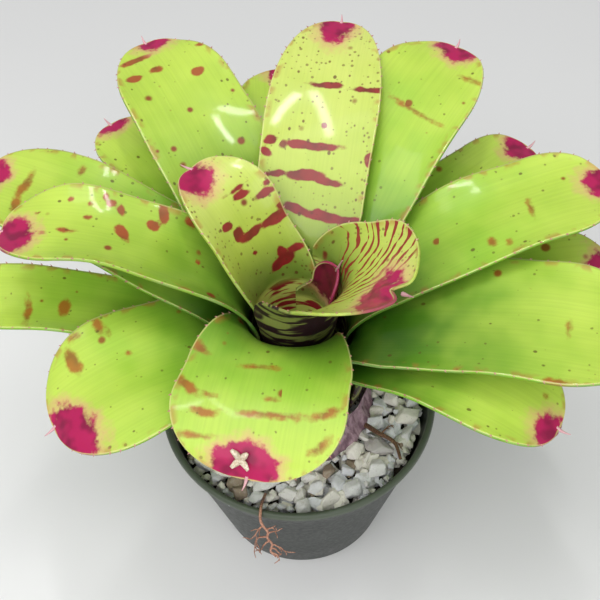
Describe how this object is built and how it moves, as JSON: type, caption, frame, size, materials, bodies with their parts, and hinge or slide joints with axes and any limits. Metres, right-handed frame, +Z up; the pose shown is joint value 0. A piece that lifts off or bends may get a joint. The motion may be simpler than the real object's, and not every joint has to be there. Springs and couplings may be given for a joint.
{
  "type": "potted bromeliad",
  "caption": "Broad-leaved tank bromeliad with a central water cup, growing in a tapered plastic nursery pot topped with pale gravel.",
  "frame": {"origin": "centre of the pot's underside, on the surface the pot stands on", "axes": "+Z up along the pot's axis; +X towards the leaf that spreads widest to the right, with the cup leaf's side and the hanging root facing -Y"},
  "size_m": [0.3617, 0.2538, 0.2557],
  "materials": {
    "leaf": "waxy lime green leaf with crimson cross bands, magenta tip and fine brown teeth on its edges",
    "stem": "fibrous green-brown stem",
    "old_sheath": "dry mauve-brown leaf base",
    "pot": "semi-matt dark green-grey plastic with specks of lime scale",
    "potting_mix": "damp dark potting mix",
    "gravel": "pale angular pumice gravel",
    "root": "dry brown root"
  },
  "bodies": {
    "root": {"leaf_heart": "leaf", "leaf_inner_left": "leaf", "leaf_cup": "leaf", "leaf_upright_back": "leaf", "leaf_left_spotted": "leaf", "leaf_front": "leaf", "leaf_right_upper": "leaf", "leaf_back_left": "leaf", "leaf_right": "leaf", "leaf_back_right": "leaf", "leaf_left_upper": "leaf", "leaf_front_left": "leaf", "leaf_front_right": "leaf", "leaf_back": "leaf", "leaf_far_right": "leaf", "leaf_far_left": "leaf", "leaf_right_lower": "leaf", "leaf_left_lower": "leaf", "stem": "stem", "old_sheath_front": "old_sheath", "old_sheath_back": "old_sheath", "old_sheath_left": "old_sheath", "pot": "pot", "potting_mix": "potting_mix", "gravel_bed": "gravel", "root_hanging": "root", "root_on_gravel": "root"}
  },
  "joints": []
}
